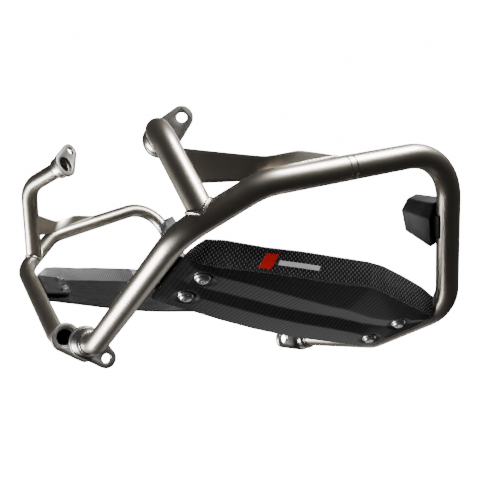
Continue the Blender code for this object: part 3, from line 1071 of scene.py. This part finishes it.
@dataclass
class GussetWork(Work):
    """The folded gusset between strut and main tube, with its weld beads."""

    thickness: float = 3
    top_up: float = 84
    bottom_up: float = 40
    columns: int = 61
    bead_r: float = 2.0

    def build(self) -> None:
        """Make the folded sheet and the beads along its seams."""
        side = self.side
        piece = self.bench.sheet(self.columns, 9, self.spot)
        self.bench.modify(piece, "SOLIDIFY", thickness=self.thickness * MM, offset=0.0)
        self.bench.modify(piece, "BEVEL", width=0.5 * MM, segments=2, limit_method="ANGLE",
                          angle_limit=math.radians(50))
        self.bench.smooth(piece)
        self.bench.hand_over(piece, f"gusset_{side}_folded", self.finishes.titanium, Slot.TITANIUM,
                             (f"gusset_{side}",))
        tube_seam = [self.seam(0.52 + 0.46 * step / 70) for step in range(71)]
        strut_seam = [self.spot(0.0, 0.04 + 0.92 * step / 40) for step in range(41)]
        for name, seam in (("tube", tube_seam), ("strut", strut_seam)):
            self.bead(f"gusset_{name}_weld_{side}", seam, self.bead_r, (0.25, 0.8), closed=False)

    def edges(self) -> tuple[list[Vector], list[Vector]]:
        """Return the lower and the upper edge's corners, strut first.

        Returns:
            The corners of the lower edge and of the upper edge.
        """
        lines = self.lines
        sign = lines.side.sign
        up = (lines.strut_bend - lines.strut_foot).normalized()
        out = (lines.top_rear - lines.top_front).normalized()
        corner = lines.top_front
        lower = [lines.strut_foot + up * self.bottom_up, corner + Vector((3, -14 * sign, 5)),
                 corner + out * 38 + Vector((0, -5 * sign, 8)),
                 corner + out * 82 + Vector((0, -3 * sign, 10))]
        upper = [lines.strut_foot + up * self.top_up, corner + Vector((-4, -5 * sign, 27)),
                 corner + out * 42 + Vector((0, -5 * sign, 25.5)),
                 corner + out * 84 + Vector((0, -3 * sign, 13.8))]
        return lower, upper

    @staticmethod
    def curve(corners: Sequence[Vector], share: float) -> Vector:
        """Return a point on a smooth curve that follows the corners.

        Args:
            corners: Corners that it passes through.
            share: Share of the length.

        Returns:
            The point.
        """
        place = share * (len(corners) - 1)
        index = min(int(place), len(corners) - 2)
        rest = place - index
        before = corners[max(index - 1, 0)]
        first, second = corners[index], corners[index + 1]
        after = corners[min(index + 2, len(corners) - 1)]
        bend = 0.55
        start = (second - before) * 0.5 * bend
        end = (after - first) * 0.5 * bend
        square, cube = rest * rest, rest ** 3
        return (first * (2 * cube - 3 * square + 1) + start * (cube - 2 * square + rest)
                + second * (3 * square - 2 * cube) + end * (cube - square))

    def spot(self, along: float, across: float) -> Vector:
        """Return a point of the sheet."""
        lower, upper = self.edges()
        return self.curve(lower, along).lerp(self.curve(upper, along), across)

    def seam(self, along: float) -> Vector:
        """Return a point where the sheet leaves the main tube, on its outer side.

        Args:
            along: Share of the length, from the strut.

        Returns:
            The point, on the sheet that is clear of the tube.
        """
        lines = self.lines
        low = self.spot(along, 0.0)
        high = self.spot(along, 1.0)
        out = (lines.top_rear - lines.top_front).normalized()
        foot = lines.top_front + out * (low - lines.top_front).dot(out)
        best = low
        for step in range(40):
            best = low.lerp(high, step / 40)
            if (best - foot - out * (best - foot).dot(out)).length >= TUBE_R + 0.4:
                break
        return best + Vector((0.0, 1.6 * lines.side.sign, 0.0))


@dataclass
class CarbonPlate(Work):
    """The carbon cylinder plate of one guard: a faceted face and a folded band."""

    thickness: float = 3
    anchor_y: float = 239
    front_drop: float = 6.8
    rear_drop: float = 17
    fold_row: float = 0.84
    fold: tuple = ((16, 24), (34, 19), (55, 21), (95, 30), (138, 37), (183, 44),
                   (217, 52), (240, 49), (267, 43), (299, 37), (322, 30), (330, 25))
    lower: tuple = ((15, -56), (36, -62), (64, -66), (104, -72), (150, -76), (190, -76),
                    (227, -73), (267, -67), (294, -63), (308, -54), (320, -8), (328, 18))
    top: tuple = ((18, 29, -6), (31, 40, -14), (50, 45, -15), (90, 51, -15), (130, 59, -16), (172, 66, -16),
                  (205, 72, -16), (225, 72, -16), (252, 67, -16), (290, 58, -16),
                  (314, 50, -14), (322, 40, -9))
    ridge: tuple = ((0.0, 0.93), (0.15, 0.9), (0.3, 0.8), (0.5, 0.68), (0.65, 0.63), (0.75, 0.68),
                    (0.87, 0.8), (1.0, 0.9))
    groove: tuple = ((0.0, 0.6), (0.25, 0.53), (0.4, 0.49), (0.65, 0.46), (0.78, 0.52),
                     (0.9, 0.62), (1.0, 0.7))
    facet: tuple = ((0.0, 0.4), (0.2, 0.37), (0.35, 0.34), (0.65, 0.3), (0.85, 0.22), (1.0, 0.3))
    screws: tuple = (("front_upper", 48, -3), ("front_lower", 47, -40), ("rear_upper", 300, 3),
                     ("rear_lower", 291, -40))

    def __post_init__(self) -> None:
        """Work out the plate's own plane."""
        lines = self.lines
        self.stretch = 1.0 if lines.side is Side.LEFT else 0.965
        front = self.at_width(lines.sill, lines.shoulder)
        rear = self.at_width(lines.turn_in, lines.foot)
        self.out = (lines.shoulder - lines.sill).normalized()
        self.down = self.downward(rear - front)
        for _ in range(4):
            self.origin = front + self.down * self.front_drop
            chord = rear + self.down * self.rear_drop - self.origin
            self.back = (chord - self.out * chord.dot(self.out)).normalized()
            self.down = self.downward(self.back)

    def at_width(self, inner: Vector, outer: Vector) -> Vector:
        """Return the point between two corners at the plate's anchor width."""
        goal = self.anchor_y * self.lines.side.sign
        return inner.lerp(outer, (goal - inner.y) / (outer.y - inner.y))

    def downward(self, chord: Vector) -> Vector:
        """Return the downward normal of the plane of a chord and the outward line."""
        normal = chord.cross(self.out).normalized()
        return normal if normal.z < 0 else -normal

    def point(self, back: float, out: float, down: float = 0.0) -> Vector:
        """Return a point of the drawing from the plate's own coordinates."""
        return self.origin + self.back * (back * self.stretch) + self.out * out + self.down * down

    def station(self, table: Sequence[Sequence[float]], along: float) -> list[float]:
        """Return an outline's point at a share of its length.

        Args:
            table: Corners of the outline, from front to rear.
            along: Share of the length, from front to rear.

        Returns:
            The coordinates there.
        """
        place = along * (len(table) - 1)
        index = min(int(place), len(table) - 2)
        rest = place - index
        return [a + (b - a) * rest for a, b in zip(table[index], table[index + 1])]

    def face_height(self, along: float, across: float) -> float:
        """Return how far the face stands out at a share along and across it.

        Args:
            along: Share of the length, from front to rear.
            across: Share of the face, from the lower edge to the fold.

        Returns:
            The height over the plane, in millimetres.
        """
        swell = math.sin(math.pi * min(max(along * 1.06 - 0.02, 0.0), 1.0)) ** 0.6
        facet = along_table(self.facet, along)
        groove = along_table(self.groove, along)
        ridge = along_table(self.ridge, along)
        profile = ((0.0, -2.5), (facet, 3.2), (groove, -0.8), (ridge, 4.2), (1.0, 0.0))
        return along_table(profile, across) * swell

    def spot(self, along: float, across: float) -> Vector:
        """Return a point of the plate's outer surface.

        Args:
            along: Share of the length, from front to rear.
            across: Share of the width, from the lower edge to the top of the band.

        Returns:
            The point of the drawing.
        """
        fold = self.station(self.fold, along)
        if across > self.fold_row:
            top = self.station(self.top, along)
            share = (across - self.fold_row) / (1 - self.fold_row)
            crown = 0.8 * math.sin(math.pi * share)
            back, out = (fold[0] + (top[0] - fold[0]) * share, fold[1] + (top[1] - fold[1]) * share)
            return self.point(back, out + crown, top[2] * share)
        lower = self.station(self.lower, along)
        share = across / self.fold_row
        back, out = (lower[0] + (fold[0] - lower[0]) * share, lower[1] + (fold[1] - lower[1]) * share)
        height = self.face_height(along, share)
        for _, screw_back, screw_out in self.screws:
            reach = math.hypot(back - screw_back, out - screw_out)
            height += (-1.2 - height) * eased((15.0 - reach) / 6.0)
        return self.point(back, out, height)

    def cloth(self, along: float, across: float) -> tuple[float, float]:
        """Return the cloth map's place, in metres, for the same shares.

        Args:
            along: Share of the length, from front to rear.
            across: Share of the width, from the lower edge to the top of the band.

        Returns:
            The place along and up the cloth.
        """
        fold = self.station(self.fold, along)
        if across > self.fold_row:
            share = (across - self.fold_row) / (1 - self.fold_row)
            return fold[0] * MM, share * 0.025
        lower = self.station(self.lower, along)
        share = across / self.fold_row
        back = lower[0] + (fold[0] - lower[0]) * share
        out = lower[1] + (fold[1] - lower[1]) * share
        return back * MM, out * MM

    def build(self) -> None:
        """Make the plate and its two printed stripes."""
        side = self.side
        columns, rows = 177, 101
        piece = self.bench.sheet(columns, rows, self.spot, self.cloth)
        middle = piece.data.polygons[len(piece.data.polygons) // 3]
        if middle.normal.dot(self.down) < 0:
            self.bench.edit(piece, bpy.ops.mesh.flip_normals)
        piece.data.materials.append(self.finishes.face_cloth)
        piece.data.materials.append(self.finishes.band_cloth)
        piece.data.materials.append(self.finishes.inner_cloth)
        piece.data.materials.append(self.finishes.inner_band)
        for polygon in piece.data.polygons:
            row = polygon.index // (columns - 1)
            polygon.material_index = 1 if row >= round(self.fold_row * (rows - 1)) else 0
        self.bench.modify(piece, "SOLIDIFY", thickness=self.thickness * MM, offset=-1.0, material_offset=2)
        self.bench.smooth(piece, 24)
        self.bench.hand_over(piece, f"carbon_plate_{side}_moulded", self.finishes.face_cloth, Slot.CARBON,
                             (f"carbon_plate_{side}",))
        self.stripe(f"red_stripe_{side}", 0.272, 0.30, 0.18, 0.78, self.finishes.red)
        self.stripe(f"white_stripe_{side}", 0.31, 0.405, 0.38, 0.56, self.finishes.white)

    def stripe(self, name: str, start: float, end: float, low: float, high: float,
               finish: bpy.types.Material) -> None:
        """Lay a thin slanted stripe on the band.

        Args:
            name: Name of the stripe.
            start: Its front end, as a share of the length.
            end: Its rear end.
            low: Its lower edge, as a share of the band.
            high: Its upper edge.
            finish: Its material.
        """
        def spot(along: float, across: float) -> Vector:
            """Return a point of the stripe.

            Args:
                along: Share of its length.
                across: Share of its height.

            Returns:
                The point of the drawing.
            """
            height = low + (high - low) * across
            place = start + (end - start) * along + (height - 0.5) * 0.02
            return self.spot(place, self.fold_row + (1 - self.fold_row) * height) + self.outwards * 0.25
        piece = self.bench.sheet(24, 5, spot)
        self.bench.modify(piece, "SOLIDIFY", thickness=0.25 * MM, offset=0.0)
        self.bench.hand_over(piece, name, finish, Slot.CARBON)

    @property
    def outwards(self) -> Vector:
        """Return the direction in which the band faces.

        Returns:
            The unit direction, away from the motorcycle.
        """
        along = self.spot(0.6, 0.9) - self.spot(0.4, 0.9)
        across = self.spot(0.5, 0.98) - self.spot(0.5, 0.86)
        normal = along.cross(across).normalized()
        return normal if normal.y * self.lines.side.sign > 0 else -normal


@dataclass
class Fastening(Work):
    """Screws, washers and brackets of one plate."""

    plate: CarbonPlate
    head_r: float = 6.6
    head_height: float = 4.0
    shank_r: float = 3.0
    key_r: float = 2.5
    bracket_thickness: float = 4
    bracket_level: float = -13.6
    boss_r: float = 10

    def build(self) -> None:
        """Make the screws with their washers, and both brackets."""
        side = self.side
        head = self.screw()
        washer = self.washer()
        for label, back, out in self.plate.screws:
            seat = self.plate.point(back, out, -1.2)
            place = Matrix.Translation(metres(seat)) @ axes_along(self.plate.down, self.plate.back).to_4x4()
            self.bench.hand_over(self.bench.copy(head, place), f"screw_{label}_{side}_button",
                                 self.finishes.steel, Slot.STEEL, (f"screw_{label}_{side}",))
            self.bench.hand_over(self.bench.copy(washer, place), f"washer_{label}_{side}",
                                 self.finishes.steel, Slot.STEEL)
        bpy.data.objects.remove(head)
        bpy.data.objects.remove(washer)
        self.bracket("front", (14, 14), 1)
        self.bracket("rear", (322, 311), -1)

    def screw(self) -> bpy.types.Object:
        """Return a button-head screw at the origin, head up, with a hexagon key socket.

        Returns:
            The screw.
        """
        r, h = self.head_r, self.head_height
        profile = [(0, 1.0 + h), (r * 0.45, 1.0 + h)]
        for index in range(1, 8):
            angle = math.pi / 2 * index / 7
            profile.append((r * (0.45 + 0.55 * math.sin(angle)), 1.0 + h * (0.25 + 0.75 * math.cos(angle))))
        profile += [(r, 1.0), (self.shank_r, 1.0), (self.shank_r, -19.0), (self.shank_r - 0.6, -20.0),
                    (0, -20.0)]
        piece = self.bench.turned(profile, BOX_MIDDLE, Vector((0, 0, 1)), 36)
        self.bench.drill(piece, 0, 0, self.key_r, 6, 5.0, 1.0 + h)
        self.bench.smooth(piece)
        return piece

    def washer(self) -> bpy.types.Object:
        """Return a thin washer at the origin with rounded edges.

        Returns:
            The washer.
        """
        inner, outer = self.shank_r + 0.2, self.head_r + 1.6
        profile = [(inner, 0.0), (outer - 0.3, 0.0), (outer, 0.3), (outer, 0.7), (outer - 0.3, 1.0),
                   (inner, 1.0)]
        piece = self.bench.turned(profile, BOX_MIDDLE, Vector((0, 0, 1)), 40)
        self.bench.smooth(piece)
        return piece

    def bracket(self, end: str, edges: tuple[float, float], away: int) -> None:
        """Make one flat bracket with rounded corners at its two screws.

        Args:
            end: Front or rear.
            edges: Place of its plain edge, at the top and at the bottom.
            away: 1 where the bosses are on the rear side of that edge, -1 where they are in front.
        """
        plate = self.plate
        spots = {label: (back, out) for label, back, out in plate.screws}
        upper, lower = spots[f"{end}_upper"], spots[f"{end}_lower"]
        outline = [(edges[0], upper[1] + 14), (edges[1], lower[1] - 14)]
        for spot, first in ((lower, -math.pi / 2), (upper, 0.0)):
            for index in range(9):
                angle = first + math.pi / 2 * index / 8
                outline.append((spot[0] + away * self.boss_r * math.cos(angle),
                                spot[1] + self.boss_r * math.sin(angle)))
        turn = Matrix((plate.back, plate.down.cross(plate.back), plate.down)).transposed()
        flip = 1 if turn.col[1].dot(plate.out) > 0 else -1
        flat = [(back * plate.stretch, out * flip) for back, out in outline]
        piece = self.bench.flat(flat, self.bracket_thickness)
        self.bench.modify(piece, "BEVEL", width=0.8 * MM, segments=2, limit_method="ANGLE",
                          angle_limit=math.radians(50))
        level = metres(plate.point(0, 0, self.bracket_level))
        self.bench.settle(piece, Matrix.Translation(level) @ turn.to_4x4())
        self.bench.smooth(piece)
        side = self.side
        self.bench.hand_over(piece, f"{end}_bracket_{side}_rounded", self.finishes.black_metal,
                             Slot.BLACK_METAL, (f"{end}_bracket_{side}",))


@dataclass
class Bumper(Work):
    """The moulded pad inside the upright."""

    at: float = 0.45
    near: float = 12.9
    far: float = 52

    def build(self) -> None:
        """Make the faceted pad."""
        lines = self.lines
        sign = lines.side.sign
        along = (lines.foot - lines.top_rear).normalized()
        centre = lines.top_rear.lerp(lines.foot, self.at)
        inboard = Vector((0.09, -sign, 0))
        inboard = (inboard - along * inboard.dot(along)).normalized()
        fore = along.cross(inboard).normalized()
        fore = fore if fore.x > 0 else -fore
        near = ((-15, 25), (9, 25), (16, 8), (14, -26), (-15, -26))
        far = ((-12, 25), (6, 25), (12, 12), (10, -14), (-12, -14))
        depths = (self.far - 5, self.far - 5, self.far, self.far - 4, self.far - 4)
        piece = self.bench.flat(near, 1.0)
        spots = [(self.near, x, z) for x, z in near] + [(depth, x, z) for depth, (x, z) in zip(depths, far)]
        for vertex, (depth, x, z) in zip(piece.data.vertices, spots):
            vertex.co = metres(centre + inboard * depth + fore * x - along * z)
        self.bench.edit(piece, lambda: bpy.ops.mesh.normals_make_consistent(inside=False))
        self.bench.modify(piece, "BEVEL", width=1.8 * MM, segments=3, limit_method="ANGLE",
                          angle_limit=math.radians(15))
        self.bench.smooth(piece, 28)
        side = self.side
        self.bench.hand_over(piece, f"bumper_pad_{side}_moulded", self.finishes.pad, Slot.RUBBER,
                             (f"bumper_pad_{side}",))


@dataclass
class Studio:
    """Floor, light and camera."""

    lens: float = 45.04
    camera_spot: tuple[float, float, float] = (249.9, 764.0, 64.2)
    yaw: float = -0.583
    pitch: float = 0.0798
    roll: float = -0.0056
    sensor: float = 36.0
    sight: float = 80.0
    white: float = 16.0
    floor_size: float = 60.0
    floor_gap: float = 0.012
    dim: float = 0.03
    dim_overhead: float = 0.05

    def build(self) -> None:
        """Set up the studio."""
        self.floor()
        self.lamps()
        self.sky()
        self.camera()

    def floor(self) -> None:
        """Add the pale floor just under the guards, glowing for the camera only."""
        Bench.clear()
        level = CAD_BOX[0][2] - self.floor_gap
        bpy.ops.mesh.primitive_plane_add(size=self.floor_size, location=(0, 0, level))
        floor = bpy.context.active_object
        floor.name = "studio_floor"
        paint = Paint("pale_floor", (0.8, 0.8, 0.8), 0.9, 0.0)
        paint.set("Emission Color", (1.0, 1.0, 1.0, 1.0))
        paint.set("Emission Strength", self.white)
        floor.data.materials.append(paint.material)
        floor.visible_glossy = False
        floor.visible_diffuse = False
        floor.visible_shadow = False

    def lamps(self) -> None:
        """Add soft lamps: one high at the left, one low in front, one underneath and one behind."""
        self.lamp("top_softbox", (-0.6, 1.1, 1.6), (0, 0.2, 0), 0.9, 105.0)
        self.lamp("low_softbox", (1.35, -0.75, -1.0), (0, 0, 0), 0.9, 75.0)
        self.lamp("under_softbox", (-0.9, -0.5, -1.3), (0, 0.2, 0), 1.1, 1.8)
        self.lamp("back_softbox", (-1.4, -1.2, 1.0), (0, 0, 0), 1.0, 5.0)

    @staticmethod
    def lamp(name: str, place: tuple[float, float, float], aim: tuple[float, float, float],
             size: float, power: float) -> None:
        """Add one square area lamp.

        Args:
            name: Name of the lamp.
            place: Where it stands, in metres.
            aim: The point that it faces.
            size: Length of its side, in metres.
            power: Its power, in watts.
        """
        data = bpy.data.lights.new(name, "AREA")
        data.size = size
        data.energy = power
        lamp = bpy.data.objects.new(name, data)
        bpy.context.scene.collection.objects.link(lamp)
        lamp.location = place
        lamp.rotation_euler = (Vector(aim) - Vector(place)).to_track_quat("-Z", "Y").to_euler()

    def sky(self) -> None:
        """Set a backdrop that is white for the camera and dim for everything else."""
        world = bpy.data.worlds.new("soft_surround")
        bpy.context.scene.world = world
        world.use_nodes = True
        tree = world.node_tree
        back = tree.nodes["Background"]
        place = tree.nodes.new("ShaderNodeTexCoord")
        parts = tree.nodes.new("ShaderNodeSeparateXYZ")
        ramp = tree.nodes.new("ShaderNodeValToRGB")
        ramp.color_ramp.elements[0].position = 0.08
        ramp.color_ramp.elements[0].color = (self.dim, self.dim, self.dim, 1)
        ramp.color_ramp.elements[1].position = 0.5
        ramp.color_ramp.elements[1].color = (self.dim_overhead,) * 3 + (1,)
        seen = tree.nodes.new("ShaderNodeLightPath")
        choice = tree.nodes.new("ShaderNodeMix")
        choice.data_type = "RGBA"
        choice.inputs[7].default_value = (self.white, self.white, self.white, 1)
        tree.links.new(place.outputs["Generated"], parts.inputs[0])
        tree.links.new(parts.outputs[2], ramp.inputs[0])
        tree.links.new(ramp.outputs[0], choice.inputs[6])
        tree.links.new(seen.outputs["Is Camera Ray"], choice.inputs[0])
        tree.links.new(choice.outputs[2], back.inputs[0])

    def camera(self) -> None:
        """Add the camera."""
        data = bpy.data.cameras.new("guard_camera")
        data.lens = self.lens
        data.sensor_width = self.sensor
        data.clip_end = self.sight
        camera = bpy.data.objects.new("guard_camera", data)
        bpy.context.scene.collection.objects.link(camera)
        ahead = Vector((math.sin(self.yaw) * math.cos(self.pitch), -math.cos(self.yaw) * math.cos(self.pitch),
                        math.sin(self.pitch)))
        right = ahead.cross(Vector((0, 0, 1))).normalized()
        above = right.cross(ahead)
        across = right * math.cos(self.roll) + above * math.sin(self.roll)
        upward = above * math.cos(self.roll) - right * math.sin(self.roll)
        turn = Matrix((across, upward, -ahead)).transposed().to_4x4()
        camera.matrix_world = Matrix.Translation(metres(self.camera_spot)) @ turn
        bpy.context.scene.camera = camera


def dress_cad(finishes: Finishes) -> None:
    """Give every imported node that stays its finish.

    Args:
        finishes: All finishes of the pair.
    """
    rules = (("bush_", finishes.rubber), ("nut_", finishes.steel), ("screw_", finishes.steel),
             ("bumper_saddle", finishes.black_metal), ("bumper_pad", finishes.pad),
             ("front_bracket", finishes.black_metal), ("rear_bracket", finishes.black_metal),
             ("carbon_plate", finishes.face_cloth), ("lower_lug", finishes.machined),
             ("upper_lug", finishes.machined), ("rear_lug", finishes.machined))
    for name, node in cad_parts.items():
        finish = next((finish for start, finish in rules if name.startswith(start)), finishes.titanium)
        if not node.material_slots:
            node.data.materials.append(finish)
        for slot in node.material_slots:
            slot.material = finish


def main() -> None:
    """Build both guards and the studio."""
    logging.basicConfig(level=logging.INFO, format="%(message)s")
    finishes = Finishes()
    dress_cad(finishes)
    bench = Bench()
    for side in Side:
        lines = CentreLines(side)
        plate = CarbonPlate(lines, bench, finishes)
        for work in (TubeWork(lines, bench, finishes), LugWork(lines, bench, finishes),
                     GussetWork(lines, bench, finishes), plate, Fastening(lines, bench, finishes, plate),
                     Bumper(lines, bench, finishes)):
            work.build()
    Studio().build()
    LOG.info("%d pieces in all", bench.count)


if __name__ == "__main__":
    main()
